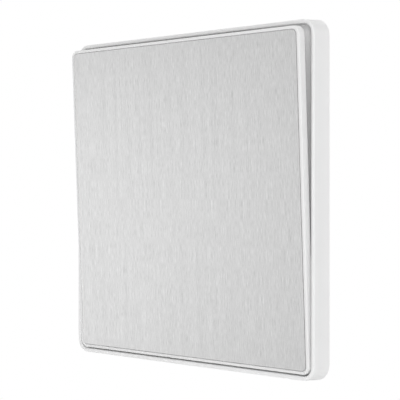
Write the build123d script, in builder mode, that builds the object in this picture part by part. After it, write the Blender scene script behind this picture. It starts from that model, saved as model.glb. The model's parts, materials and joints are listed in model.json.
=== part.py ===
from build123d import *
from math import cos, radians, sin, tan
import os

# One-gang two-way rocker light switch of the 86 mm square format, in millimetres and degrees
#
# The wall is the plane Y = 0, the front faces -Y, +X is to the right and +Z is up. The origin is the
# middle of the frame's back. Face-on sketches lie on Plane.XZ, whose normal points to the front, so its
# offsets count forwards from the wall and negative offsets go back into the wall box.

# Frame
frame_width = 86.0
frame_depth = 5.35
frame_draft = 3.5
frame_corner = 4.0
frame_rim = 1.0
frame_arris = 0.4
frame_inner_arris = 0.3
opening_corner = 2.4
frame_well = 2.75
floor_width = 8.0
back_rib_thickness = 1.0
back_rib_spacing = 44.0
pry_notch_width = 8.0
pry_notch_depth = 1.0
hook_length = 5.0
hook_thickness = 1.4
hook_nose = 0.7
hook_tip = 1.5
hook_inset = 2.0
hook_spacing = 44.0

# Rocker key and its face plate
rocker_gap = 0.55
rocker_corner = 2.1
rocker_edge = 2.06
rocker_rim = 0.8
rocker_arris = 0.35
rocker_proud = 1.93
rocker_tilt = 2.6
plate_thickness = 0.6
plate_gap = 0.12
rib_height = 0.9
rib_width = 1.2
rib_margin = 1.0
boss_height = 1.0
leg_thickness = 1.4
leg_width = 4.0
leg_spacing = 12.2
leg_nose = 0.8
leg_tip = 1.4

# Steel mounting bracket
bracket_thickness = 1.2
bracket_margin = 3.0
bracket_corner = 6.0
box_screw_spacing = 60.3
box_slot_length = 7.0
box_slot_width = 4.2
box_screw_head = 7.0
box_screw_room = 1.0
bead_length = 40.0
bead_width = 4.0
bead_height = 0.8
bead_wall = 0.9

# Mechanism housing and cover
module_width = 44.0
module_height = 50.0
module_depth = 20.0
module_corner = 3.0
housing_wall = 1.5
housing_floor = 1.5
housing_arris = 1.0
flange_lip = 1.2
flange_depth = 1.6
skirt_wall = 1.2
skirt_depth = 1.5
skirt_side = 5.2
stop_length = 10.0
stop_width = 2.0
stop_height_from_middle = 14.0
screw_side = 8.0
screw_edge = 3.5
screw_radius = 1.25
screw_head_radius = 2.3
screw_length = 10.25
screw_boss_radius = 2.8
drive_slot_width = 0.6
drive_slot_depth = 0.6

# Toggle, plunger and spring
toggle_width = 18.2
toggle_height = 12.0
toggle_back = 1.0
toggle_corner = 1.0
trunnion_radius = 1.3
eye_wall = 1.1
cheek_thickness = 3.0
cheek_height = 7.0
sleeve_wall = 1.0
sleeve_reach = 10.0
sleeve_end_wall = 2.2
gusset_thickness = 1.2
gusset_reach = 7.0
plunger_radius = 1.95
plunger_nose_radius = 1.2
plunger_shoulder = 7.2
plunger_stem_radius = 0.8
plunger_stem_length = 2.4
spring_wire_radius = 0.22
spring_wire_sides = 6
spring_turns = 4

# Contact blade, contacts and terminals
blade_width = 6.0
blade_thickness = 1.0
blade_reach = 12.0
contact_edge = 2.0
blade_corner = 2.0
blade_bend = 8.5
blade_waist = 4.0
blade_notch = 3.6
groove_depth = 0.45
ridge_radius = 0.9
ear_width = 2.4
contact_radius = 1.9
contact_shank_radius = 0.9
moving_contact_height = 0.9
fixed_contact_height = 1.5
contact_arris = 0.3
rivet_head_radius = 1.4
rivet_head_height = 0.35
strip_width = 6.0
strip_thickness = 0.8
strip_bend = 1.2
strip_pad = 2.7
tail_length = 6.0
block_width = 8.0
block_height = 9.0
block_length = 9.6
block_arris = 0.4
wire_bore_radius = 2.0
wire_bore_depth = 8.0
clamp_screw_radius = 1.5
clamp_head_radius = 2.3
pocket_rib = 1.0
pocket_depth = 8.5
pocket_ledge = 0.8
pocket_corner = 1.0
pocket_bevel = 0.6

# Clearances
moving_clearance = 0.3
running_clearance = 0.05
rivet_clearance = 0.02
seat_clearance = 0.2
hook_clearance = 0.1
flex_room = 1.0
eye_clearance = 0.52
key_stop_clearance = 0.3
toggle_room = 1.0
tip_clearance = 0.12
contact_clearance = 0.1
block_clearance = 0.1
head_clearance = 0.3
block_side_gap = 0.9

# Places that follow from the sizes above, first the frame and key
front_width = frame_width - 2 * frame_depth * tan(radians(frame_draft))
opening_width = front_width - 2 * frame_rim
frame_wall = (frame_width - opening_width) / 2
floor_front = frame_depth - frame_well
window_width = opening_width - 2 * floor_width
bracket_width = opening_width - 2 * bracket_margin
hook_place = window_width / 2 + hook_inset
rocker_width = opening_width - 2 * rocker_gap
recess_width = rocker_width - 2 * rocker_rim
recess_corner = rocker_corner - rocker_rim
plate_width = recess_width - 2 * plate_gap
rib_ring_width = window_width - 2 * rib_margin

# The pivot, with key distances counted forwards from its axis
bearing_radius = trunnion_radius + running_clearance
eye_radius = bearing_radius + eye_wall
key_back = eye_radius + eye_clearance
key_front = key_back + rocker_edge
pivot_forward = frame_depth + rocker_proud - key_front / cos(radians(rocker_tilt))
toggle_front = key_back - boss_height
cheek_inner = toggle_width / 2 + moving_clearance

# The key's planes at rest: face-on, cut along the pivot looking down, and seen from the right
key_plane = Plane.XZ.offset(pivot_forward).rotated((rocker_tilt, 0, 0))
key_section = Plane(key_plane.origin, x_dir=key_plane.x_dir, z_dir=key_plane.y_dir)
key_side = Plane(key_plane.origin, x_dir=key_plane.y_dir, z_dir=key_plane.x_dir)

# The mechanism, with depths counted back from the wall
cover_front = pivot_forward
cover_plate = cover_front - bracket_thickness
floor_depth = module_depth - housing_floor
screw_x = module_width / 2 - screw_side
screw_z = module_height / 2 - screw_edge
skirt_width = module_width - 2 * skirt_side
skirt_height = 2 * (screw_z - screw_boss_radius - seat_clearance)
stop_drop = stop_height_from_middle + stop_width / 2
stop_reach = (key_back - rib_height) * cos(radians(rocker_tilt)) - stop_drop * sin(radians(rocker_tilt))
stop_height = stop_reach - key_stop_clearance

# The contact blade, closed on the upper contact and lying flat on that side
strip_back = floor_depth - strip_pad
strip_front = strip_back - strip_thickness
groove_radius = ridge_radius + running_clearance
blade_back = groove_radius - groove_depth
blade_front = blade_back + blade_thickness / cos(radians(blade_bend))
fixed_face = strip_front - fixed_contact_height
contact_reach = blade_reach - contact_edge
fulcrum = fixed_face - contact_clearance - moving_contact_height + blade_back * cos(radians(blade_bend))
contact_height = contact_reach + blade_back * sin(radians(blade_bend))
blade_axis = Vector(0, fulcrum, 0)
blade_up = Vector(0, 0, 1).rotate(Axis.X, -blade_bend)
blade_forward = Vector(0, -1, 0).rotate(Axis.X, -blade_bend)
blade_side = Plane(blade_axis, x_dir=blade_up, z_dir=(1, 0, 0))
blade_face = Plane(blade_axis, x_dir=(1, 0, 0), z_dir=blade_forward)

# The plunger, with depths counted back from the pivot
plunger_bore = plunger_radius + running_clearance
sleeve_radius = plunger_bore + sleeve_wall
plunger_tip = pivot_forward + fulcrum - blade_front - tip_clearance
spring_radius = plunger_bore - moving_clearance - spring_wire_radius
spring_end = spring_wire_radius + running_clearance
spring_height = plunger_shoulder - sleeve_end_wall - 2 * spring_end

# The terminals: side of the mechanism and height of each
block_outer = module_width / 2 - housing_wall - block_side_gap
block_inner = block_outer - block_width
bore_place = (block_inner + block_outer) / 2
tail_place = block_inner - strip_thickness
tail_end = strip_front - tail_length
clamp_depth = floor_depth - wire_bore_depth / 2
clamp_tip = bore_place + wire_bore_radius + head_clearance
terminals = {"common": (-1, 0.0), "upper": (1, contact_height), "lower": (1, -contact_height)}


def save(piece, name):
    """Label a finished piece and write it to its own file."""
    piece.part.label = name
    export_step(piece.part, f"parts/{name}.step")


def arm_plane(side):
    """Plane on the back of the blade's upper (1) or lower (-1) arm at its contact, facing back."""
    turn = side * blade_bend - blade_bend
    along = Vector(0, 0, side).rotate(Axis.X, turn)
    back = Vector(0, 1, 0).rotate(Axis.X, turn)
    place = blade_axis + blade_forward * blade_back + along * contact_reach
    return Plane(place, x_dir=(1, 0, 0), z_dir=back)


os.makedirs("parts", exist_ok=True)

# Frame: thin square rim with drafted sides round a well with a floor, hooked onto the bracket
with BuildPart() as frame:
    with BuildSketch(Plane.XZ):
        RectangleRounded(frame_width, frame_width, frame_corner)
    extrude(amount=frame_depth)
    draft(frame.faces().sort_by(Axis.Y)[1:-1], Plane.XZ, frame_draft)
    fillet(frame.faces().sort_by(Axis.Y)[0].edges(), frame_arris)
    with BuildSketch(Plane.XZ.offset(floor_front)):
        RectangleRounded(opening_width, opening_width, opening_corner)
    extrude(amount=frame_well, mode=Mode.SUBTRACT)
    fillet(frame.faces().sort_by(Axis.Y)[0].inner_wires().edges(), frame_inner_arris)
    # The hollow back takes the bracket, with short ribs from the wall to the bracket's edge
    with BuildSketch(Plane.XZ):
        RectangleRounded(opening_width, opening_width, opening_corner)
        with PolarLocations(opening_width / 2, 4):
            with GridLocations(0, back_rib_spacing, 1, 2):
                Rectangle(2 * (bracket_margin - moving_clearance), back_rib_thickness, mode=Mode.SUBTRACT)
    extrude(amount=bracket_thickness, mode=Mode.SUBTRACT)
    # The floor's window, widened for the heads of the wall box screws
    with BuildSketch(Plane.XZ.offset(bracket_thickness)):
        RectangleRounded(window_width, window_width, opening_corner)
        with GridLocations(box_screw_spacing, 0, 2, 1):
            head_space = box_screw_head + 2 * box_screw_room
            SlotOverall(box_slot_length - box_slot_width + head_space, head_space)
        RectangleRounded(opening_width, opening_width, opening_corner, mode=Mode.INTERSECT)
    extrude(amount=floor_front - bracket_thickness, mode=Mode.SUBTRACT)
    # Snap hooks on both sides, which pass through the bracket and grip its back
    for height in (-hook_spacing / 2, hook_spacing / 2):
        with BuildSketch(Plane.XY.offset(height - hook_length / 2)):
            with BuildLine():
                Polyline(
                    (hook_place, -bracket_thickness),
                    (hook_place + hook_thickness, -bracket_thickness),
                    (hook_place + hook_thickness, hook_clearance),
                    (hook_place + hook_thickness + hook_nose, hook_clearance),
                    (hook_place + hook_thickness, hook_tip),
                    (hook_place, hook_tip),
                    close=True,
                )
            make_face()
            mirror(about=Plane.YZ)
        extrude(amount=hook_length)
    # Notch in the lower edge for levering the frame off
    with BuildSketch(Plane.XZ):
        with Locations((0, -frame_width / 2)):
            Rectangle(pry_notch_width, 2 * frame_wall)
    extrude(amount=pry_notch_depth, mode=Mode.SUBTRACT)
save(frame, "frame")

# Rocker key: square slab with a recess for the plate, ribbed behind, with two snap legs
with BuildPart() as rocker_key:
    with BuildSketch(key_plane.offset(key_back)):
        RectangleRounded(rocker_width, rocker_width, rocker_corner)
    extrude(amount=rocker_edge)
    fillet(rocker_key.faces().sort_by(key_plane.location.z_axis)[-1].edges(), rocker_arris)
    with BuildSketch(key_plane.offset(key_front - plate_thickness)):
        RectangleRounded(recess_width, recess_width, recess_corner)
    extrude(amount=plate_thickness, mode=Mode.SUBTRACT)
    with BuildSketch(key_plane.offset(key_back)):
        RectangleRounded(rib_ring_width, rib_ring_width, rocker_corner)
        with GridLocations(rib_ring_width / 4, rib_ring_width / 3, 4, 3):
            Rectangle(rib_ring_width / 4 - rib_width, rib_ring_width / 3 - rib_width, mode=Mode.SUBTRACT)
    extrude(amount=-rib_height)
    with BuildSketch(key_plane.offset(key_back)):
        RectangleRounded(toggle_width - rib_width, toggle_height, toggle_corner)
    extrude(amount=-boss_height)
    with BuildSketch(key_section.offset(-leg_width / 2)):
        leg_outer = leg_spacing / 2 + leg_thickness / 2
        leg_inner = leg_outer - leg_thickness
        catch = toggle_back + hook_clearance
        with BuildLine():
            Polyline(
                (leg_inner, -toggle_front),
                (leg_outer, -toggle_front),
                (leg_outer, catch),
                (leg_outer + leg_nose, catch),
                (leg_outer, catch + leg_tip),
                (leg_inner, catch + leg_tip),
                close=True,
            )
        make_face()
        mirror(about=Plane.YZ)
    extrude(amount=leg_width)
save(rocker_key, "rocker_key")

# Face plate: aluminium sheet flush with the key's rim
with BuildPart() as face_plate:
    with BuildSketch(key_plane.offset(key_front - plate_thickness)):
        RectangleRounded(plate_width, plate_width, recess_corner - plate_gap)
    extrude(amount=plate_thickness)
save(face_plate, "face_plate")

# Mounting bracket: flat steel plate with a window for the mechanism and two pressed beads
with BuildPart() as mounting_bracket:
    bead_place = (module_height + window_width) / 4
    with BuildSketch(Plane.XZ):
        RectangleRounded(bracket_width, bracket_width, bracket_corner)
        RectangleRounded(
            skirt_width + 2 * seat_clearance,
            skirt_height + 2 * seat_clearance,
            module_corner,
            mode=Mode.SUBTRACT,
        )
        with GridLocations(box_screw_spacing, 0, 2, 1):
            SlotOverall(box_slot_length, box_slot_width, mode=Mode.SUBTRACT)
        with GridLocations(2 * screw_x, 2 * screw_z, 2, 2):
            Circle(screw_radius + seat_clearance, mode=Mode.SUBTRACT)
        with GridLocations(2 * hook_place + hook_thickness - flex_room, hook_spacing, 2, 2):
            Rectangle(
                hook_thickness + flex_room + 2 * seat_clearance,
                hook_length + 2 * seat_clearance,
                mode=Mode.SUBTRACT,
            )
    extrude(amount=bracket_thickness)
    with BuildSketch(Plane.XZ.offset(bracket_thickness)):
        with GridLocations(0, 2 * bead_place, 1, 2):
            SlotOverall(bead_length, bead_width)
    extrude(amount=bead_height)
    with BuildSketch(Plane.XZ):
        with GridLocations(0, 2 * bead_place, 1, 2):
            SlotOverall(bead_length - 2 * bead_wall, bead_width - 2 * bead_wall)
    extrude(amount=bead_height, mode=Mode.SUBTRACT)
save(mounting_bracket, "mounting_bracket")

# Mechanism cover: plate on the bracket's front with a skirt through its window and two bearing cheeks
with BuildPart() as mechanism_cover:
    with BuildSketch(Plane.XZ.offset(bracket_thickness)):
        RectangleRounded(module_width, module_height, module_corner)
    extrude(amount=cover_plate)
    with BuildSketch(Plane.XZ.offset(-skirt_depth)):
        RectangleRounded(skirt_width, skirt_height, module_corner - seat_clearance)
        offset(amount=-skirt_wall, mode=Mode.SUBTRACT)
    extrude(amount=skirt_depth + bracket_thickness)
    with BuildSketch(Plane.XZ.offset(bracket_thickness)):
        Rectangle(2 * cheek_inner, toggle_height + 2 * toggle_room)
    extrude(amount=cover_plate, mode=Mode.SUBTRACT)
    with BuildSketch(Plane.YZ.offset(cheek_inner)):
        with Locations(((skirt_depth - pivot_forward) / 2, 0)):
            Rectangle(skirt_depth + pivot_forward, cheek_height)
        with Locations((-pivot_forward, 0)):
            Circle(eye_radius)
            Circle(bearing_radius, mode=Mode.SUBTRACT)
    extrude(amount=cheek_thickness)
    mirror(about=Plane.YZ)
    with BuildSketch(Plane.YZ):
        with Locations((-pivot_forward, 0)):
            Circle(bearing_radius)
    extrude(amount=cheek_inner + cheek_thickness, both=True, mode=Mode.SUBTRACT)
    with BuildSketch(Plane.XZ.offset(cover_front)):
        with GridLocations(0, 2 * stop_height_from_middle, 1, 2):
            Rectangle(stop_length, stop_width)
    extrude(amount=stop_height)
    with Locations(Plane.XZ.offset(cover_front)):
        with GridLocations(2 * screw_x, 2 * screw_z, 2, 2):
            CounterSinkHole(
                screw_radius + seat_clearance,
                screw_head_radius + running_clearance,
                counter_sink_angle=90,
            )
save(mechanism_cover, "mechanism_cover")

# Toggle: cradle on two trunnions, with a sleeve behind it for the plunger
with BuildPart() as toggle:
    with BuildSketch(key_plane.offset(-toggle_back)):
        RectangleRounded(toggle_width, toggle_height, toggle_corner)
        slot_width = leg_thickness + flex_room + 2 * seat_clearance
        with GridLocations(leg_spacing - flex_room, 0, 2, 1):
            Rectangle(slot_width, leg_width + 2 * seat_clearance, mode=Mode.SUBTRACT)
    extrude(amount=toggle_back + toggle_front)
    with BuildSketch(key_plane.offset(-sleeve_reach)):
        Circle(sleeve_radius)
    extrude(amount=sleeve_reach - toggle_back)
    with BuildSketch(key_side.offset(-gusset_thickness / 2)):
        with BuildLine():
            Polyline(
                (-toggle_height / 2, -toggle_back),
                (toggle_height / 2, -toggle_back),
                (sleeve_radius, -gusset_reach),
                (-sleeve_radius, -gusset_reach),
                close=True,
            )
        make_face()
    extrude(amount=gusset_thickness)
    for side in (1, -1):
        with BuildSketch(Plane.YZ.offset(side * toggle_width / 2)):
            with Locations((-pivot_forward, 0)):
                Circle(trunnion_radius)
        extrude(amount=side * (moving_clearance + cheek_thickness))
    with BuildSketch(key_plane.offset(-sleeve_reach)):
        Circle(plunger_bore)
    extrude(amount=sleeve_reach - sleeve_end_wall, mode=Mode.SUBTRACT)
save(toggle, "toggle")

# Plunger: stem inside the spring, body in the sleeve and a round nose on the blade
with BuildPart() as plunger:
    with BuildSketch(key_section):
        with BuildLine():
            nose_start = plunger_tip - plunger_nose_radius
            stem_start = plunger_shoulder - plunger_stem_length
            body_end = nose_start - (plunger_radius - plunger_nose_radius)
            outline = Polyline(
                (0, stem_start),
                (plunger_stem_radius, stem_start),
                (plunger_stem_radius, plunger_shoulder),
                (plunger_radius, plunger_shoulder),
                (plunger_radius, body_end),
                (plunger_nose_radius, nose_start),
            )
            nose = CenterArc((0, nose_start), plunger_nose_radius, 0, 90)
            Line(nose @ 1, outline @ 0)
        make_face()
    revolve(axis=Axis(key_plane.origin, key_plane.z_dir))
save(plunger, "plunger")

# Plunger spring: coil between the sleeve's blind end and the plunger's shoulder, its wire drawn with flats
with BuildPart() as plunger_spring:
    with BuildLine() as coil:
        Helix(
            pitch=spring_height / spring_turns,
            height=spring_height,
            radius=spring_radius,
            center=key_plane.from_local_coords((0, 0, spring_end - plunger_shoulder)),
            direction=key_plane.z_dir,
        )
    with BuildSketch(Plane(coil.line @ 0, z_dir=coil.line % 0)):
        RegularPolygon(spring_wire_radius, spring_wire_sides)
    sweep(is_frenet=True)
save(plunger_spring, "plunger_spring")

# Contact rocker: bent copper blade that see-saws on the fulcrum ridge
with BuildPart() as contact_rocker:
    with BuildSketch(blade_side):
        with BuildLine():
            back_middle = Vector(0, blade_back)
            front_middle = Vector(0, blade_front)
            back_tip = back_middle + Vector(blade_reach, 0).rotate(Axis.Z, blade_bend)
            front_tip = back_tip + Vector(0, blade_thickness).rotate(Axis.Z, blade_bend)
            Polyline(back_middle, back_tip, front_tip, front_middle, close=True)
        make_face()
        mirror(about=Plane.YZ)
        Circle(groove_radius, mode=Mode.SUBTRACT)
    extrude(amount=blade_width / 2, both=True)
    with BuildSketch(blade_face):
        blade_span = 2 * blade_reach * cos(radians(blade_bend))
        RectangleRounded(blade_width, blade_span, blade_corner)
        with GridLocations(blade_width, 0, 2, 1):
            Rectangle(blade_width - blade_waist, blade_notch, mode=Mode.SUBTRACT)
    extrude(amount=blade_reach, both=True, mode=Mode.INTERSECT)
    for side in (1, -1):
        with BuildSketch(arm_plane(side)):
            Circle(contact_shank_radius + rivet_clearance)
        extrude(amount=-2 * blade_thickness, mode=Mode.SUBTRACT)
save(contact_rocker, "contact_rocker")

# Moving contacts: silver rivets through the blade's two arms
with BuildPart() as moving_contacts:
    for side in (1, -1):
        with BuildSketch(arm_plane(side)):
            Circle(contact_radius)
        extrude(amount=moving_contact_height)
        with BuildSketch(arm_plane(side)):
            Circle(contact_shank_radius)
        extrude(amount=-blade_thickness)
        with BuildSketch(arm_plane(side).offset(-blade_thickness)):
            Circle(rivet_head_radius)
        extrude(amount=-rivet_head_height)
save(moving_contacts, "moving_contacts")

# Common terminal strip: bent strip that carries the fulcrum ridge and the ears beside the blade's waist
with BuildPart() as common_terminal_strip:
    side, height = terminals["common"]
    with BuildLine(Plane.XY.offset(height - strip_width / 2)):
        FilletPolyline(
            (side * tail_place, tail_end),
            (side * tail_place, strip_front),
            (-side * blade_width / 2, strip_front),
            radius=strip_bend,
        )
    make_brake_formed(strip_thickness, strip_width, side=Side.LEFT)
    with BuildSketch(Plane.YZ):
        with Locations((fulcrum, 0)):
            Circle(ridge_radius)
        with Locations(((fulcrum + strip_front) / 2, 0)):
            Rectangle(strip_front - fulcrum, 2 * ridge_radius)
    extrude(amount=blade_waist / 2, both=True)
    with BuildSketch(Plane.XZ.offset(-strip_front)):
        ear_thickness = (blade_width - blade_waist) / 2 - moving_clearance
        with GridLocations(blade_width - ear_thickness, 0, 2, 1):
            Rectangle(ear_thickness, ear_width)
    extrude(amount=strip_front - fulcrum + blade_front)
save(common_terminal_strip, "common_terminal_strip")

# Upper and lower contact strips with their silver contacts
for place in ("upper", "lower"):
    side, height = terminals[place]
    with BuildPart() as contact_strip:
        with BuildLine(Plane.XY.offset(height - strip_width / 2)):
            FilletPolyline(
                (-side * blade_width / 2, strip_front),
                (side * tail_place, strip_front),
                (side * tail_place, tail_end),
                radius=strip_bend,
            )
        make_brake_formed(strip_thickness, strip_width, side=Side.LEFT)
        with BuildSketch(Plane.XZ.offset(-strip_back)):
            with Locations((0, height)):
                Circle(contact_shank_radius + rivet_clearance)
        extrude(amount=strip_thickness, mode=Mode.SUBTRACT)
    save(contact_strip, f"{place}_contact_strip")
    with BuildPart() as fixed_contact:
        with BuildSketch(Plane.XZ.offset(-strip_front)):
            with Locations((0, height)):
                Circle(contact_radius)
        extrude(amount=fixed_contact_height)
        chamfer(fixed_contact.faces().sort_by(Axis.Y)[0].edges(), contact_arris)
        with BuildSketch(Plane.XZ.offset(-strip_back)):
            with Locations((0, height)):
                Circle(contact_shank_radius)
        extrude(amount=strip_thickness)
    save(fixed_contact, f"{place}_fixed_contact")

# Terminal blocks: brass blocks with a wire bore from behind and a clamp screw hole from the side
for place, (side, height) in terminals.items():
    with BuildPart() as terminal_block:
        with BuildSketch(Plane.XZ.offset(-floor_depth)):
            with Locations((side * bore_place, height)):
                Rectangle(block_width, block_height)
        extrude(amount=block_length)
        chamfer(terminal_block.edges(), block_arris)
        with BuildSketch(Plane.XZ.offset(-floor_depth)):
            with Locations((side * bore_place, height)):
                Circle(wire_bore_radius)
        extrude(amount=wire_bore_depth, mode=Mode.SUBTRACT)
        with BuildSketch(Plane.YZ.offset(side * bore_place)):
            with Locations((clamp_depth, height)):
                Circle(clamp_screw_radius + rivet_clearance)
        extrude(amount=side * (block_outer - bore_place), mode=Mode.SUBTRACT)
    save(terminal_block, f"{place}_terminal_block")

# Terminal screws: slotted clamp screws, backed out of the wire bores
with BuildPart() as terminal_screws:
    head_start = block_outer + head_clearance
    head_end = module_width / 2
    for side, height in terminals.values():
        with BuildSketch(Plane.YZ.offset(side * clamp_tip)):
            with Locations((clamp_depth, height)):
                Circle(clamp_screw_radius)
        extrude(amount=side * (head_start - clamp_tip))
        with BuildSketch(Plane.YZ.offset(side * head_start)):
            with Locations((clamp_depth, height)):
                Circle(clamp_head_radius)
        extrude(amount=side * (head_end - head_start))
        with BuildSketch(Plane.YZ.offset(side * head_end)):
            with Locations((clamp_depth, height)):
                Rectangle(drive_slot_width, 2 * clamp_head_radius)
        extrude(amount=-side * drive_slot_depth, mode=Mode.SUBTRACT)
save(terminal_screws, "terminal_screws")

# Switch housing: flanged rear tub with screw bosses, strip pads and open-backed terminal pockets
with BuildPart() as switch_housing:
    with BuildSketch(Plane.XZ.offset(-module_depth)):
        RectangleRounded(module_width, module_height, module_corner)
    extrude(amount=module_depth)
    chamfer(switch_housing.faces().sort_by(Axis.Y)[-1].edges(), housing_arris)
    with BuildSketch(Plane.XZ):
        RectangleRounded(module_width, module_height, module_corner)
        offset(amount=flange_lip)
    extrude(amount=-flange_depth)
    with BuildSketch(Plane.XZ.offset(-floor_depth)):
        RectangleRounded(
            module_width - 2 * housing_wall,
            module_height - 2 * housing_wall,
            module_corner - housing_wall,
        )
        with GridLocations(2 * screw_x, 2 * screw_z, 2, 2):
            Circle(screw_boss_radius, mode=Mode.SUBTRACT)
    extrude(amount=floor_depth, mode=Mode.SUBTRACT)
    with BuildSketch(Plane.XZ.offset(-floor_depth)):
        pad_length = blade_width / 2 + tail_place - strip_bend
        for side, height in terminals.values():
            with Locations((side * (pad_length - blade_width) / 2, height)):
                Rectangle(pad_length, strip_width - 2 * seat_clearance)
    extrude(amount=strip_pad)
    with BuildSketch(Plane.XZ.offset(-floor_depth)):
        pocket_height = block_height + 2 * block_clearance
        rib_length = module_width / 2 - housing_wall - block_inner
        for side, height in terminals.values():
            with Locations((side * (block_inner + rib_length / 2), height)):
                with GridLocations(0, pocket_height + pocket_rib, 1, 2):
                    Rectangle(rib_length, pocket_rib)
    extrude(amount=pocket_depth)
    # Each pocket opens at the back, past a ledge that holds its block in, and at the side for its screw
    entry_width = block_width - 2 * pocket_ledge
    entry_height = block_height - 2 * pocket_ledge
    for side, height in terminals.values():
        with BuildSketch(Plane.XZ.offset(-module_depth)):
            with Locations((side * bore_place, height)):
                RectangleRounded(entry_width, entry_height, pocket_corner)
        extrude(amount=housing_floor, mode=Mode.SUBTRACT)
        with BuildSketch(Plane.XZ.offset(-module_depth)):
            with Locations((side * bore_place, height)):
                RectangleRounded(entry_width, entry_height, pocket_corner)
                offset(amount=pocket_bevel)
        extrude(amount=pocket_bevel, taper=45, mode=Mode.SUBTRACT)
        with BuildSketch(Plane.YZ.offset(side * module_width / 2)):
            with Locations((clamp_depth, height)):
                Circle(clamp_head_radius + head_clearance)
        extrude(amount=-side * housing_wall, mode=Mode.SUBTRACT)
    with BuildSketch(Plane.XZ):
        with GridLocations(2 * screw_x, 2 * screw_z, 2, 2):
            Circle(screw_radius + rivet_clearance)
    extrude(amount=-(screw_length - cover_front + seat_clearance), mode=Mode.SUBTRACT)
save(switch_housing, "switch_housing")

# Housing screws: countersunk, through the cover and bracket into the housing's bosses
with BuildPart() as housing_screws:
    head_depth = screw_head_radius - screw_radius
    with BuildSketch(Plane.XZ.offset(cover_front - screw_length)):
        with GridLocations(2 * screw_x, 2 * screw_z, 2, 2):
            Circle(screw_radius)
    extrude(amount=screw_length - head_depth)
    with BuildSketch(Plane.XZ.offset(cover_front - head_depth)):
        with GridLocations(2 * screw_x, 2 * screw_z, 2, 2):
            Circle(screw_radius)
    extrude(amount=head_depth, taper=-45)
    with BuildSketch(Plane.XZ.offset(cover_front)):
        with GridLocations(2 * screw_x, 2 * screw_z, 2, 2):
            Rectangle(drive_slot_width, 2 * screw_head_radius)
    extrude(amount=-drive_slot_depth, mode=Mode.SUBTRACT)
save(housing_screws, "housing_screws")
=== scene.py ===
# %% [markdown]
# # Dressing a rocker light switch
#
# The switch comes in as a frame of CAD pieces that already have their real size and place, and none of
# them is moved or reshaped. This lesson gives each piece the finish of its real material, models four of
# the small ones again in finer detail, and builds a small studio round the whole. Sizes are in metres
# unless a line says millimetres.

# %% Load the frame
import json
import math

import bpy
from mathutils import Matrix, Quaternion, Vector


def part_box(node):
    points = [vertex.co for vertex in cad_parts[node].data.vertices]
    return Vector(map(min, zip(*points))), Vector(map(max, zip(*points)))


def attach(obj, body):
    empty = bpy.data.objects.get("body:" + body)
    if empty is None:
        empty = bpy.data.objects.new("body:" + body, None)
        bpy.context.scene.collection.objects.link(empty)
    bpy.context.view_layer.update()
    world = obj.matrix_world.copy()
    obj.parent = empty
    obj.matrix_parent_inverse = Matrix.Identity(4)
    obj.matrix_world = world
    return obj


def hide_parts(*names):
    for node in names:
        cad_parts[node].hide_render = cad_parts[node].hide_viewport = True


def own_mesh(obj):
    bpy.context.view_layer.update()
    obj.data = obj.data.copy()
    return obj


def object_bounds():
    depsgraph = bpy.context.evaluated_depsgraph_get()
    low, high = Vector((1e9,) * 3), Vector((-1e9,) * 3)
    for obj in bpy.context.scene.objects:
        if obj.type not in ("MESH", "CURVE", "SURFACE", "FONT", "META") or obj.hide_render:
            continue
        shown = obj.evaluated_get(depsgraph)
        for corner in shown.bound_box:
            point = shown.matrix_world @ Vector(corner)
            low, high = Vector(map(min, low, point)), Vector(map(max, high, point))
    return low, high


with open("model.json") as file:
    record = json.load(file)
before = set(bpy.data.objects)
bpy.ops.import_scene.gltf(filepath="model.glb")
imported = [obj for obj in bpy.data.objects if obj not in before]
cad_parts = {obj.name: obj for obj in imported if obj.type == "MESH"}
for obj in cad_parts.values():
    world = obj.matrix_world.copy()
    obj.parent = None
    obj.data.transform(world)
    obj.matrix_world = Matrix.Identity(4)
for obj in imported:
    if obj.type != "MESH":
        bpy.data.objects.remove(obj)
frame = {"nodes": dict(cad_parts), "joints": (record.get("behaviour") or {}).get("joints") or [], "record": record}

mm = 0.001
cad_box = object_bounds()
cad_size = (cad_box[1] - cad_box[0]) / mm
bpy.ops.object.select_all(action="DESELECT")
print("CAD pieces:", len(frame["nodes"]), "overall mm:", [round(side, 1) for side in cad_size])

# %% [markdown]
# ## The camera
#
# The picture was taken from the switch's right, level with its middle and from about a third of a metre.
# A camera could be tilted until the object fits the frame, but then its uprights lean. A level camera
# keeps them upright, and a small vertical shift of the lens frames the object instead. The place and the
# lens are worked out from the picture's own edges.

# %% Camera
quarter_turn = math.pi / 2
view_turn = math.radians(44.5)
camera_place = (0.2335, -0.2376, 0.00223)
lens_mm = 115.2
sensor_mm = 36.0
frame_shift = -0.0237

bpy.ops.object.camera_add(location=camera_place, rotation=(quarter_turn, 0, view_turn))
camera = bpy.context.object
camera.name = "photo_camera"
camera.data.sensor_width = sensor_mm
camera.data.lens = lens_mm
camera.data.shift_y = frame_shift
bpy.context.scene.camera = camera
print("Camera at", [round(c, 4) for c in camera.location], "lens", lens_mm, "mm")

# %% [markdown]
# ## White surroundings
#
# A product picture like this one is taken in a white sweep, which lights the object from all round. The
# sweep could be modelled as a wall, but its light would then be hard to set. The world does the same work
# with two backgrounds: a dome lights the object evenly, and plain white is what the camera, a gloss or a
# glass sees. So the background is white without more light on the object.


# %% A mask for rays that look
def add_looking_rays(tree):
    """Give back a mask that is 1 for rays of the camera, a gloss or a glass, and 0 for plain light."""
    rays = tree.nodes.new("ShaderNodeLightPath")
    mask = rays.outputs["Is Camera Ray"]
    for kind in ("Is Glossy Ray", "Is Transmission Ray"):
        either = tree.nodes.new("ShaderNodeMath")
        either.operation = "MAXIMUM"
        tree.links.new(mask, either.inputs[0])
        tree.links.new(rays.outputs[kind], either.inputs[1])
        mask = either.outputs[0]
    return mask


print("Helper:", add_looking_rays.__name__)

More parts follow.
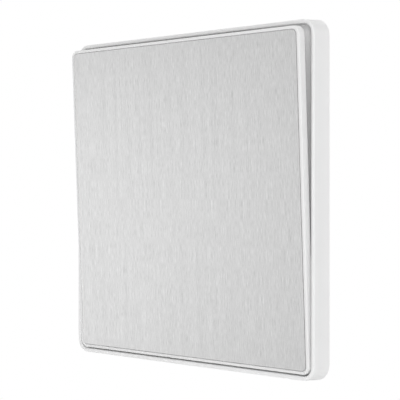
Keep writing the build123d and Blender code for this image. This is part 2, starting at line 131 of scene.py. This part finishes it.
# %% Dome and white
dome_strength = 0.55
pure_white = (1, 1, 1, 1)
world = bpy.data.worlds.new("white_sweep")
bpy.context.scene.world = world
world.use_nodes = True
sky = world.node_tree
sky.nodes.clear()
dome = sky.nodes.new("ShaderNodeBackground")
dome.inputs["Color"].default_value = pure_white
dome.inputs["Strength"].default_value = dome_strength
white = sky.nodes.new("ShaderNodeBackground")
white.inputs["Color"].default_value = pure_white
choice = sky.nodes.new("ShaderNodeMixShader")
output = sky.nodes.new("ShaderNodeOutputWorld")
sky.links.new(add_looking_rays(sky), choice.inputs[0])
sky.links.new(dome.outputs[0], choice.inputs[1])
sky.links.new(white.outputs[0], choice.inputs[2])
sky.links.new(choice.outputs[0], output.inputs["Surface"])
bpy.context.scene.view_settings.view_transform = "Standard"
print("World nodes:", len(sky.nodes), "dome strength:", dome_strength)

# %% [markdown]
# ## Soft boxes
#
# Three soft boxes give the white pieces their form: the main one stands behind the camera, a strip lights
# the front from the left, and a box behind and above lights the top and the back. Point lamps would throw
# hard shadows, so they are area lamps of a soft box's size. Metal mirrors a lamp as a bright patch. Only
# the strip is left to be mirrored, because it gives the sheet its slow change of tone from side to side.

# %% Three boxes
# Each has its place, its two sides, its watts, and whether gloss and metal mirror it.
soft_boxes = {
    "main_box": ((0.65, -0.65, -0.03), (0.28, 0.90), 3.72, False),
    "left_strip": ((-0.90, -0.45, -0.10), (0.90, 0.40), 0.70, True),
    "back_box": ((-0.30, 0.62, 0.72), (0.80, 0.80), 3.5, False),
}
for name, (place, sides, watts, mirrored) in soft_boxes.items():
    facing = (-Vector(place)).to_track_quat("-Z", "Y").to_euler()
    bpy.ops.object.light_add(type="AREA", location=place, rotation=facing)
    lamp = bpy.context.object
    lamp.name = name
    lamp.data.shape = "RECTANGLE"
    lamp.data.size, lamp.data.size_y = sides
    lamp.data.energy = watts
    lamp.visible_glossy = mirrored
    print(name, "at", place, "with", watts, "W")

# %% [markdown]
# ## Tools for finishes
#
# A finish could be a painted picture that is wrapped round each piece. Here patterns make it from the
# place of each point, in metres, so it needs no picture and keeps its real scale on every piece. A
# pattern that several materials use is a node group. A Principled shader takes the group's masks: they
# blend two close colours, spread the roughness over a small range, and raise a bump of at most 0.02 mm.


# %% Starting a group
def start_group(name, inputs, outputs):
    """Make a shader node group with its sockets and give back the group with both its end nodes."""
    group = bpy.data.node_groups.new(name, "ShaderNodeTree")
    for label, kind, value in inputs:
        socket = group.interface.new_socket(label, in_out="INPUT", socket_type=kind)
        socket.default_value = value
    for label, kind in outputs:
        group.interface.new_socket(label, in_out="OUTPUT", socket_type=kind)
    return group, group.nodes.new("NodeGroupInput"), group.nodes.new("NodeGroupOutput")


print("Helper:", start_group.__name__)


# %% Starting a finish
def start_finish(name, group, values, metallic=0.0):
    """Make a material that holds a Principled shader and one of the groups with its own values."""
    material = bpy.data.materials.new(name)
    material.use_nodes = True
    tree = material.node_tree
    shader = tree.nodes["Principled BSDF"]
    shader.inputs["Metallic"].default_value = metallic
    effect = tree.nodes.new("ShaderNodeGroup")
    effect.node_tree = group
    for label, value in values.items():
        effect.inputs[label].default_value = value
    return material, tree, shader, effect


finishes = {}
print("Helper:", start_finish.__name__)

# %% Feeding a finish
# A noise seldom leaves this range, so it is this range that is spread over the roughness.
mask_low = 0.3
mask_high = 0.7


def feed_colour(tree, mask, colours, shader):
    """Blend two colours by a mask into the Base Color."""
    blend = tree.nodes.new("ShaderNodeMix")
    blend.data_type = "RGBA"
    blend.inputs["A"].default_value = (*colours[0], 1)
    blend.inputs["B"].default_value = (*colours[1], 1)
    tree.links.new(mask, blend.inputs["Factor"])
    tree.links.new(blend.outputs["Result"], shader.inputs["Base Color"])


def feed_roughness(tree, mask, span, shader):
    """Spread a mask over a small range of roughness."""
    spread = tree.nodes.new("ShaderNodeMapRange")
    spread.inputs["From Min"].default_value = mask_low
    spread.inputs["From Max"].default_value = mask_high
    spread.inputs["To Min"].default_value = span[0]
    spread.inputs["To Max"].default_value = span[1]
    tree.links.new(mask, spread.inputs["Value"])
    tree.links.new(spread.outputs["Result"], shader.inputs["Roughness"])


def feed_bump(tree, mask, depth, shader):
    """Raise the surface by a mask, to a depth in metres."""
    bump = tree.nodes.new("ShaderNodeBump")
    bump.inputs["Distance"].default_value = depth
    tree.links.new(mask, bump.inputs["Height"])
    tree.links.new(bump.outputs["Normal"], shader.inputs["Normal"])


print("Helpers:", feed_colour.__name__, feed_roughness.__name__, feed_bump.__name__)

# %% [markdown]
# ## Moulded plastics
#
# Frame and key are satin white, the mechanism's shell is light grey, and its moving pieces are a waxy
# natural white. A mould leaves a faint grain and slow clouds of gloss in all of them. A picture of real
# plastic could show both, but two noises are enough: a fine one for the bump, and a coarse one for colour
# and roughness. Light goes a little way into the white before it comes out, so white gets a shallow glow.

# %% Moulded skin
number = "NodeSocketFloat"
noise_details = {"Grain": 2.0, "Cloud": 3.0}
skin, skin_in, skin_out = start_group(
    "moulded_skin",
    [("Grains Per Metre", number, 4000.0), ("Clouds Per Metre", number, 45.0)],
    [("Grain", number), ("Cloud", number)],
)
skin_place = skin.nodes.new("ShaderNodeTexCoord")
for label, detail in noise_details.items():
    noise = skin.nodes.new("ShaderNodeTexNoise")
    noise.inputs["Detail"].default_value = detail
    skin.links.new(skin_place.outputs["Object"], noise.inputs["Vector"])
    skin.links.new(skin_in.outputs[f"{label}s Per Metre"], noise.inputs["Scale"])
    skin.links.new(noise.outputs["Fac"], skin_out.inputs[label])
print("Group", skin.name, "with", len(skin.nodes), "nodes")

# %% Plastics
# Each has a deep and a pale colour, its range of roughness, its grains per metre and its bump's depth.
plastics = {
    "white_plastic": ((0.90, 0.90, 0.90), (0.92, 0.92, 0.92), (0.48, 0.58), 5000.0, 6e-6),
    "housing_plastic": ((0.46, 0.47, 0.48), (0.51, 0.52, 0.53), (0.48, 0.60), 3000.0, 2e-5),
    "mechanism_plastic": ((0.66, 0.64, 0.58), (0.72, 0.70, 0.64), (0.30, 0.42), 4000.0, 8e-6),
}
for slot, (deep, pale, span, grains, depth) in plastics.items():
    material, tree, shader, effect = start_finish(f"{slot}_finish", skin, {"Grains Per Metre": grains})
    feed_colour(tree, effect.outputs["Cloud"], (deep, pale), shader)
    feed_roughness(tree, effect.outputs["Cloud"], span, shader)
    feed_bump(tree, effect.outputs["Grain"], depth, shader)
    finishes[slot] = material
print("Plastics:", ", ".join(plastics))

# %% Glow of the white
white_gloss = 0.35
glow_share = 0.35
glow_depth = 0.0015
glow_by_colour = (1.0, 1.0, 1.0)
white_shader = finishes["white_plastic"].node_tree.nodes["Principled BSDF"]
white_shader.inputs["Specular IOR Level"].default_value = white_gloss
white_shader.inputs["Subsurface Weight"].default_value = glow_share
white_shader.inputs["Subsurface Radius"].default_value = glow_by_colour
white_shader.inputs["Subsurface Scale"].default_value = glow_depth
print("White glows to", glow_depth / mm, "mm")

# %% [markdown]
# ## Brushed and drawn metals
#
# A belt drags fine lines down the aluminium sheet, and rolling, milling and drawing leave fainter ones in
# copper, brass and spring wire. A noise that is stretched along one axis gives such lines. One noise alone
# gives lines of one length, which look like rows of dots. The picture shows short and long lines, so two
# noises are added. A broader noise along the same lines spreads the roughness in bands.

# %% Brushed lines
vector = "NodeSocketVector"
stroke_detail = 3.0
stroke_roughness = 0.65
lines, lines_in, lines_out = start_group(
    "brushed_lines",
    [
        ("Short Lines Per Metre", vector, (5000.0, 5000.0, 400.0)),
        ("Long Lines Per Metre", vector, (5000.0, 5000.0, 120.0)),
        ("Band Share", number, 0.1),
    ],
    [("Lines", number), ("Bands", number)],
)
lines_place = lines.nodes.new("ShaderNodeTexCoord")
total = lines.nodes.new("ShaderNodeMath")
total.operation = "ADD"
for index, label in enumerate(("Short Lines Per Metre", "Long Lines Per Metre")):
    stretch = lines.nodes.new("ShaderNodeVectorMath")
    stretch.operation = "MULTIPLY"
    lines.links.new(lines_place.outputs["Object"], stretch.inputs[0])
    lines.links.new(lines_in.outputs[label], stretch.inputs[1])
    strokes = lines.nodes.new("ShaderNodeTexNoise")
    strokes.inputs["Scale"].default_value = 1.0
    strokes.inputs["Detail"].default_value = stroke_detail
    strokes.inputs["Roughness"].default_value = stroke_roughness
    lines.links.new(stretch.outputs[0], strokes.inputs["Vector"])
    lines.links.new(strokes.outputs["Fac"], total.inputs[index])
print("Noises of", lines.name, "added by", total.name)

# %% Contrast and bands
# The two noises add up to about 1, and most of their sums lie between these two.
faint_sum = 0.72
strong_sum = 1.28
band_detail = 1.0
contrast = lines.nodes.new("ShaderNodeMapRange")
contrast.inputs["From Min"].default_value = faint_sum
contrast.inputs["From Max"].default_value = strong_sum
lines.links.new(total.outputs[0], contrast.inputs["Value"])
lines.links.new(contrast.outputs["Result"], lines_out.inputs["Lines"])
broad = lines.nodes.new("ShaderNodeTexNoise")
broad.inputs["Detail"].default_value = band_detail
lines.links.new(stretch.outputs[0], broad.inputs["Vector"])
lines.links.new(lines_in.outputs["Band Share"], broad.inputs["Scale"])
lines.links.new(broad.outputs["Fac"], lines_out.inputs["Bands"])
print("Group", lines.name, "with", len(lines.nodes), "nodes")

# %% Brushed metals
# Each has a deep and a pale colour, its range of roughness, its lines per metre along X, Y and Z, and its
# bump's depth. The lowest rate above 0 is the one along the lines. A rate of 0 takes them straight through.
brushed = {
    "brushed_aluminium": (
        (0.406, 0.406, 0.406), (0.664, 0.664, 0.664), (0.32, 0.38), (9500.0, 0.0, 600.0), 4e-6,
    ),
    "terminal_brass": ((0.69, 0.47, 0.17), (0.77, 0.54, 0.22), (0.22, 0.34), (9000.0, 9000.0, 200.0), 3e-6),
    "contact_copper": ((0.73, 0.37, 0.23), (0.80, 0.43, 0.28), (0.20, 0.32), (200.0, 9000.0, 9000.0), 2e-6),
    "spring_steel": ((0.42, 0.43, 0.45), (0.55, 0.56, 0.58), (0.22, 0.34), (6000.0, 6000.0, 800.0), 2e-6),
}
long_share = 0.3
for slot, (deep, pale, span, run, depth) in brushed.items():
    slow = min(rate for rate in run if rate > 0)
    long_run = tuple(rate * long_share if rate == slow else rate for rate in run)
    values = {"Short Lines Per Metre": run, "Long Lines Per Metre": long_run}
    material, tree, shader, effect = start_finish(f"{slot}_finish", lines, values, metallic=1.0)
    feed_colour(tree, effect.outputs["Lines"], (deep, pale), shader)
    feed_roughness(tree, effect.outputs["Bands"], span, shader)
    feed_bump(tree, effect.outputs["Lines"], depth, shader)
    finishes[slot] = material
print("Brushed metals:", ", ".join(brushed))

# %% [markdown]
# ## Plated metals
#
# Zinc plating grows in small crystals that catch the light one by one, and the silver contacts have a
# finer bloom. A noise alone would look like dust. A Voronoi pattern gives each crystal a tone of its own,
# and a coarser noise clouds the gloss over many of them.

# %% Plated bloom
clouds_per_crystal = 0.12
cloud_detail = 4.0
bloom, bloom_in, bloom_out = start_group(
    "plated_bloom",
    [("Crystals Per Metre", number, 900.0)],
    [("Crystal", number), ("Cloud", number)],
)
bloom_place = bloom.nodes.new("ShaderNodeTexCoord")
crystals = bloom.nodes.new("ShaderNodeTexVoronoi")
cloud_share = bloom.nodes.new("ShaderNodeMath")
cloud_share.operation = "MULTIPLY"
cloud_share.inputs[1].default_value = clouds_per_crystal
clouds = bloom.nodes.new("ShaderNodeTexNoise")
clouds.inputs["Detail"].default_value = cloud_detail
bloom.links.new(bloom_place.outputs["Object"], crystals.inputs["Vector"])
bloom.links.new(bloom_in.outputs["Crystals Per Metre"], crystals.inputs["Scale"])
bloom.links.new(crystals.outputs["Color"], bloom_out.inputs["Crystal"])
bloom.links.new(bloom_place.outputs["Object"], clouds.inputs["Vector"])
bloom.links.new(bloom_in.outputs["Crystals Per Metre"], cloud_share.inputs[0])
bloom.links.new(cloud_share.outputs[0], clouds.inputs["Scale"])
bloom.links.new(clouds.outputs["Fac"], bloom_out.inputs["Cloud"])
print("Group", bloom.name, "with", len(bloom.nodes), "nodes")

# %% Plated metals
# Each has a deep and a pale colour, its range of roughness, its crystals per metre and its bump's depth.
plated = {
    "zinc_plated_steel": ((0.55, 0.57, 0.60), (0.68, 0.70, 0.72), (0.26, 0.42), 1100.0, 3e-6),
    "contact_silver": ((0.74, 0.73, 0.70), (0.84, 0.83, 0.80), (0.22, 0.34), 2500.0, 2e-6),
}
for slot, (deep, pale, span, rate, depth) in plated.items():
    values = {"Crystals Per Metre": rate}
    material, tree, shader, effect = start_finish(f"{slot}_finish", bloom, values, metallic=1.0)
    feed_colour(tree, effect.outputs["Crystal"], (deep, pale), shader)
    feed_roughness(tree, effect.outputs["Cloud"], span, shader)
    feed_bump(tree, effect.outputs["Cloud"], depth, shader)
    finishes[slot] = material
print("Plated metals:", ", ".join(plated))

# %% [markdown]
# ## Finishes onto the pieces
#
# The finishes could be handed out piece by piece. The record already names a material slot for each CAD
# piece, so a loop gives every piece the finish of its slot, and pieces of one material look alike.

# %% Finishes onto the CAD pieces
slot_of = {row["node"]: row["material_slot"] for row in frame["record"]["subparts"]}
for name, node in frame["nodes"].items():
    node.data.materials.clear()
    node.data.materials.append(finishes[slot_of[name]])
print("Finished CAD pieces:", len(frame["nodes"]))

# %% [markdown]
# ## Small pieces
#
# Four CAD pieces are plainer than the real ones: two sets of screws have no thread, the spring's wire is
# six-sided, and the housing lacks its terminal marks. Each is modelled again here at the size of the solid
# that it stands for. Screws and spring are drawn in millimetres round the Z axis, where their sizes are
# easy to read, and are scaled down as they are put in place.


# %% Working on one piece
def pick(*pieces):
    """Select only these pieces and make the first one active."""
    bpy.ops.object.select_all(action="DESELECT")
    for piece in pieces:
        piece.select_set(True)
    bpy.context.view_layer.objects.active = pieces[0]


def apply_place(piece):
    """Move a piece's place, turn and scale into its mesh."""
    pick(piece)
    bpy.ops.object.transform_apply(location=True, rotation=True, scale=True)


def apply_modifier(piece, kind, **settings):
    """Add a modifier with these settings to a piece and apply it."""
    pick(piece)
    modifier = piece.modifiers.new(kind.lower(), kind)
    for setting, value in settings.items():
        setattr(modifier, setting, value)
    bpy.ops.object.modifier_apply(modifier=modifier.name)


def combine(piece, other, operation):
    """Unite a piece with another one, or cut the other one out of it, and delete the other one."""
    settings = {"operation": operation, "solver": "EXACT", "material_mode": "TRANSFER"}
    apply_modifier(piece, "BOOLEAN", object=other, **settings)
    bpy.data.objects.remove(other)


print("Helpers:", pick.__name__, apply_place.__name__, apply_modifier.__name__, combine.__name__)

# %% Seating a piece
smooth_angle = math.radians(35)


def seat(piece, name, body, slot, node):
    """Name a finished piece and let it stand for a CAD node, on that node's body. The slot is not used."""
    apply_place(piece)
    bpy.ops.object.shade_smooth_by_angle(angle=smooth_angle)
    piece.name = name
    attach(piece, body)
    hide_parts(node)
    print(name, "stands for", node, "with", len(piece.data.polygons), "faces")


print("Helper:", seat.__name__)

# %% [markdown]
# ## Screws
#
# A screw starts as a cylinder of its head's size. The underside is drawn in and then out into the shank,
# and point and rim are bevelled. A thread could be a bump in the material, but it has to show on the
# outline too, so it is a ridge: the Screw modifier winds a small triangle, one turn for each step of the
# pitch, and a Boolean joins it on. A bar then cuts the driver's slot, and leaves a near-black finish on
# the faces that it cuts. That finish is painted shade, which stands in for the shade deep in the slot.

# %% Slot shade, painted
# Painted shade: a near-black metal for the faces that a slot's bar cuts, in place of the shade deep in the slot.
slot_shade_values = {"Crystals Per Metre": 4000.0}
slot_shade_colours = ((0.10, 0.10, 0.10), (0.22, 0.22, 0.21))
slot_shade_roughness = (0.5, 0.7)
material, tree, shader, effect = start_finish("slot_painted_shade", bloom, slot_shade_values, metallic=1.0)
feed_colour(tree, effect.outputs["Cloud"], slot_shade_colours, shader)
feed_roughness(tree, effect.outputs["Cloud"], slot_shade_roughness, shader)
finishes["slot_painted_shade"] = material
print("Slot finish:", material.name)

# %% Picking one end
# A flat end lies this near to its height, in millimetres, and its normal this near to the Z axis.
end_tolerance = 0.025
end_flatness = 0.99


def select_end(piece, height):
    """Select only the flat end of a turned piece that lies at this height, and go into edit mode."""
    bpy.ops.object.mode_set(mode="EDIT")
    bpy.ops.mesh.select_all(action="DESELECT")
    bpy.ops.object.mode_set(mode="OBJECT")
    for face in piece.data.polygons:
        level = abs(face.center.z - height) < end_tolerance
        face.select = level and abs(face.normal.z) > end_flatness
    bpy.ops.object.mode_set(mode="EDIT")


print("Helper:", select_end.__name__)

# %% Turning a blank
ring_points = 40
rim_bevel = 0.25
rim_steps = 3
point_bevel = 0.3


def turn_blank(head_radius, head_depth, base_radius, core_radius, length):
    """Turn a screw's head and core, the head's face at the origin and the point down the Z axis."""
    bpy.ops.object.select_all(action="DESELECT")
    head = {"vertices": ring_points, "radius": head_radius, "depth": head_depth}
    bpy.ops.mesh.primitive_cylinder_add(location=(0, 0, -head_depth / 2), **head)
    blank = bpy.context.object
    apply_place(blank)
    select_end(blank, -head_depth)
    taper = base_radius / head_radius
    bpy.ops.transform.resize(value=(taper, taper, 1))
    bpy.ops.mesh.inset(thickness=base_radius - core_radius)
    bpy.ops.mesh.extrude_region_move(TRANSFORM_OT_translate={"value": (0, 0, head_depth - length)})
    select_end(blank, -length)
    bpy.ops.mesh.bevel(offset=point_bevel)
    select_end(blank, 0)
    bpy.ops.mesh.bevel(offset=rim_bevel, segments=rim_steps)
    bpy.ops.object.mode_set(mode="OBJECT")
    return blank


print("Helper:", turn_blank.__name__, "with", ring_points, "points round")

# %% Winding a thread
thread_ridge = 0.24


def wind(profile, turns, pitch):
    """Wind a closed profile round the Z axis and close both ends of the coil."""
    apply_place(profile)
    steps = {"steps": ring_points, "render_steps": ring_points}
    apply_modifier(profile, "SCREW", axis="Z", screw_offset=pitch, iterations=turns, **steps)
    bpy.ops.object.mode_set(mode="EDIT")
    bpy.ops.mesh.select_all(action="SELECT")
    bpy.ops.mesh.fill_holes(sides=0)
    bpy.ops.mesh.normals_make_consistent(inside=False)
    bpy.ops.object.mode_set(mode="OBJECT")


def add_thread(screw, crest_radius, pitch, turns, end):
    """Join a ridge onto a screw's core, from this height up, its crest at this radius."""
    foot = (crest_radius - thread_ridge, 0, end)
    crest_outwards = (quarter_turn, quarter_turn, 0)
    ridge = {"vertices": 3, "radius": thread_ridge}
    bpy.ops.mesh.primitive_circle_add(location=foot, rotation=crest_outwards, **ridge)
    thread = bpy.context.object
    wind(thread, turns, pitch)
    combine(screw, thread, "UNION")


print("Helpers:", wind.__name__, add_thread.__name__)

# %% Cutting a slot
slot_width = 0.6
slot_depth = 0.6


def cut_slot(screw, head_radius):
    """Cut the driver's slot across a screw's head, with a bar that is half above the head's face."""
    screw.data.materials.append(finishes["zinc_plated_steel"])
    bpy.ops.mesh.primitive_cube_add(size=1, scale=(slot_width, 3 * head_radius, 2 * slot_depth))
    bar = bpy.context.object
    apply_place(bar)
    # The bar's faces carry the painted slot shade onto the faces that it cuts.
    bar.data.materials.append(finishes["slot_painted_shade"])
    combine(screw, bar, "DIFFERENCE")


print("Helper:", cut_slot.__name__, "to", slot_depth, "mm")

# %% Placing copies
sliver = 0.002


def clean_skin(piece):
    """Merge the slivers that a Boolean leaves, so that the skin stays closed when it is split up."""
    pick(piece)
    bpy.ops.object.mode_set(mode="EDIT")
    bpy.ops.mesh.select_all(action="SELECT")
    bpy.ops.mesh.remove_doubles(threshold=sliver)
    bpy.ops.mesh.dissolve_degenerate(threshold=sliver)
    bpy.ops.mesh.quads_convert_to_tris(quad_method="BEAUTY", ngon_method="BEAUTY")
    bpy.ops.mesh.dissolve_degenerate(threshold=sliver)
    bpy.ops.object.mode_set(mode="OBJECT")


def place_copies(screw, places):
    """Put a copy of a screw at each place, its head outwards and its slot turned, and join the copies."""
    clean_skin(screw)
    copies = []
    for place, outwards, turn in places:
        copy = bpy.data.objects.new(screw.name, screw.data.copy())
        bpy.context.collection.objects.link(copy)
        facing = Vector(outwards).to_track_quat("Z", "Y")
        copy.location = place
        copy.rotation_euler = (facing @ Quaternion((0, 0, 1), math.radians(turn))).to_euler()
        copy.scale = (mm, mm, mm)
        apply_place(copy)
        copies.append(copy)
    bpy.data.objects.remove(screw)
    pick(*copies)
    bpy.ops.object.join()
    return bpy.context.object


print("Helpers:", clean_skin.__name__, place_copies.__name__)

# %% [markdown]
# ## Screws of the terminals
#
# Three short screws with tall heads clamp the wires from the housing's sides. They are alike, so one is
# modelled and copied. Their head's size and their places come from the CAD piece's box. A driver leaves
# each slot at another angle, so each copy is turned by its own.

# %% One terminal screw
clamp_low, clamp_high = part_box("terminal_screws")
clamp_head = (clamp_high.y - clamp_low.y) / 2 / mm
clamp_head_depth = 2.1
clamp_core = 1.2
clamp_length = 4.1
clamp_crest = 1.5
clamp_pitch = 0.5
clamp_turns = 3
clamp_thread_end = -3.75
clamp_screw = turn_blank(clamp_head, clamp_head_depth, clamp_head, clamp_core, clamp_length)
add_thread(clamp_screw, clamp_crest, clamp_pitch, clamp_turns, clamp_thread_end)
cut_slot(clamp_screw, clamp_head)
print("Terminal screw head mm:", round(2 * clamp_head, 2), "length mm:", clamp_length)

# %% Terminal screws
clamp_depth = (clamp_high.y + clamp_low.y) / 2
clamp_height = clamp_high.z - clamp_head * mm
# Each has the place of its head's face, the way that it faces, and the turn of its slot in degrees.
clamp_places = [
    ((clamp_low.x, clamp_depth, 0), (-1, 0, 0), 25),
    ((clamp_high.x, clamp_depth, clamp_height), (1, 0, 0), -35),
    ((clamp_high.x, clamp_depth, -clamp_height), (1, 0, 0), 60),
]
clamp_screws = place_copies(clamp_screw, clamp_places)
seat(clamp_screws, "threaded_terminal_screws", "base", "zinc_plated_steel", "terminal_screws")

# %% [markdown]
# ## Screws of the housing
#
# Four countersunk screws hold cover, bracket and housing together. The same helpers make them: a blank
# whose underside is drawn in all the way to the core has a cone for a head, so no other tool is needed.
# A coarse thread grips in plastic.

# %% One housing screw
screw_low, screw_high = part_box("housing_screws")
cover_head = 2.3
cover_head_depth = 1.4
cover_core = 0.95
cover_length = (screw_high.y - screw_low.y) / mm
cover_crest = 1.25
cover_pitch = 1.0
cover_turns = 7
cover_point = 0.5
cover_screw = turn_blank(cover_head, cover_head_depth, cover_core, cover_core, cover_length)
add_thread(cover_screw, cover_crest, cover_pitch, cover_turns, cover_point - cover_length)
cut_slot(cover_screw, cover_head)
print("Housing screw head mm:", 2 * cover_head, "length mm:", round(cover_length, 2))

# %% Housing screws
side = screw_high.x - cover_head * mm
edge = screw_high.z - cover_head * mm
cover_places = [
    ((-side, screw_low.y, edge), (0, -1, 0), 40),
    ((side, screw_low.y, edge), (0, -1, 0), -20),
    ((-side, screw_low.y, -edge), (0, -1, 0), 75),
    ((side, screw_low.y, -edge), (0, -1, 0), 10),
]
cover_screws = place_copies(cover_screw, cover_places)
seat(cover_screws, "threaded_housing_screws", "base", "zinc_plated_steel", "housing_screws")

# %% [markdown]
# ## The plunger's spring
#
# The spring is a round wire wound between the blind end of the toggle's sleeve and the plunger's shoulder.
# A curve with a round bevel could draw it. The helper that winds the threads does it as well, with a
# circle in place of the triangle, and closes the wire's ends. When the plunger slides in, the real spring
# shortens towards the blind end, but this one keeps its length and rides on the rocker's body.

# %% Round wire
wire_radius = 0.22
wire_points = 12
coil_radius = 1.48
coil_turns = 4
blind_end = 2.2
shoulder = 7.2
end_gap = 0.05
coil_start = end_gap + wire_radius - shoulder
coil_height = shoulder - blind_end - 2 * (end_gap + wire_radius)
bpy.ops.object.select_all(action="DESELECT")
wire = {"vertices": wire_points, "radius": wire_radius}
wire_place = (coil_radius, 0, coil_start)
bpy.ops.mesh.primitive_circle_add(location=wire_place, rotation=(quarter_turn, 0, 0), **wire)
spring = bpy.context.object
wind(spring, coil_turns, coil_height / coil_turns)
print("Coil height mm:", round(coil_height, 2), "turns:", coil_turns)

# %% Plunger spring
joints = {joint["name"]: joint for joint in frame["joints"]}
pivot = Vector(joints["key_rock"]["pos_m"])
forward = Vector(joints["plunger_slide"]["axis"])
spring.location = pivot
spring.rotation_euler = forward.to_track_quat("Z", "Y").to_euler()
spring.scale = (mm, mm, mm)
spring.data.materials.append(finishes["spring_steel"])
seat(spring, "round_wire_spring", "rocker", "spring_steel", "plunger_spring")
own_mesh(spring)

# %% [markdown]
# ## Terminal marks
#
# The moulding has the usual mark beside each wire entry: L for the supply, and L1 and L2 for the two
# switched wires. Thin letters could be laid on the wall, but moulded ones are sunk into it. So the housing
# is copied, its loose triangles are merged into one closed skin, and each mark is cut out of that.

# %% Housing with a closed skin
weld_distance = 1e-6
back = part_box("switch_housing")[1].y
tub = bpy.data.objects.new("marked_housing", frame["nodes"]["switch_housing"].data.copy())
bpy.context.collection.objects.link(tub)
pick(tub)
bpy.ops.object.mode_set(mode="EDIT")
bpy.ops.mesh.select_all(action="SELECT")
bpy.ops.mesh.customdata_custom_splitnormals_clear()
bpy.ops.mesh.remove_doubles(threshold=weld_distance)
bpy.ops.object.mode_set(mode="OBJECT")
print("Housing points after the merge:", len(tub.data.vertices))

# %% Marked housing
# Sizes in millimetres. The reach goes from a terminal's middle towards the middle of the housing.
mark_size = 4.2
mark_depth = 0.35
mark_weight = 0.07
mark_reach = 7.0
marks = {"L": "common_terminal_block", "L1": "upper_terminal_block", "L2": "lower_terminal_block"}
for mark, block in marks.items():
    low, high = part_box(block)
    middle = (low + high) / 2
    inwards = -math.copysign(mark_reach * mm, middle.x)
    place = (middle.x + inwards, back, middle.z)
    bpy.ops.object.text_add(location=place, rotation=(quarter_turn, 0, math.pi))
    letter = bpy.context.object
    letter.data.body = mark
    letter.data.align_x = "CENTER"
    letter.data.align_y = "CENTER"
    letter.data.size = mark_size * mm
    letter.data.extrude = mark_depth * mm
    letter.data.offset = mark_weight * mm
    pick(letter)
    bpy.ops.object.convert(target="MESH")
    apply_place(letter)
    letter.data.materials.append(finishes["housing_plastic"])
    combine(tub, letter, "DIFFERENCE")
seat(tub, "marked_housing", "base", "housing_plastic", "switch_housing")

# %% [markdown]
# ## The floor
#
# A pale floor well below the switch takes its shadow. The rim of a plain floor would show as a horizon. A
# sweep that curves up could hide it, but it would stand in some view's way. So the floor stays flat, and
# well before its rim it fades into the white that the camera sees behind it.

# %% Floor
floor_drop = 0.30
floor_side = 2.8
bpy.ops.mesh.primitive_plane_add(size=floor_side, location=(0, 0, cad_box[0].z - floor_drop))
floor = bpy.context.object
floor.name = "studio_floor"
print("Floor at", round(floor.location.z, 3), "m")

# %% Floor finish
floor_values = {"Grains Per Metre": 400.0}
floor_colours = ((0.84, 0.84, 0.84), (0.88, 0.88, 0.88))
floor_roughness = (0.6, 0.7)
material, tree, shader, effect = start_finish("floor_finish", skin, floor_values)
feed_colour(tree, effect.outputs["Cloud"], floor_colours, shader)
feed_roughness(tree, effect.outputs["Grain"], floor_roughness, shader)
floor.data.materials.append(material)
print("Floor finish:", material.name)

# %% Floor into white
fade_start = 0.35
fade_end = 0.80
floor_place = tree.nodes.new("ShaderNodeTexCoord")
reach = tree.nodes.new("ShaderNodeVectorMath")
reach.operation = "LENGTH"
tree.links.new(floor_place.outputs["Object"], reach.inputs[0])
fade = tree.nodes.new("ShaderNodeMapRange")
fade.interpolation_type = "SMOOTHSTEP"
fade.inputs["From Min"].default_value = fade_start
fade.inputs["From Max"].default_value = fade_end
tree.links.new(reach.outputs["Value"], fade.inputs["Value"])
looking_fade = tree.nodes.new("ShaderNodeMath")
looking_fade.operation = "MULTIPLY"
tree.links.new(fade.outputs["Result"], looking_fade.inputs[0])
tree.links.new(add_looking_rays(tree), looking_fade.inputs[1])
sweep = tree.nodes.new("ShaderNodeEmission")
sweep.inputs["Color"].default_value = pure_white
rise = tree.nodes.new("ShaderNodeMixShader")
tree.links.new(looking_fade.outputs[0], rise.inputs[0])
tree.links.new(shader.outputs[0], rise.inputs[1])
tree.links.new(sweep.outputs[0], rise.inputs[2])
tree.links.new(rise.outputs[0], tree.nodes["Material Output"].inputs["Surface"])
print("Floor fades from", fade_start, "to", fade_end, "m")
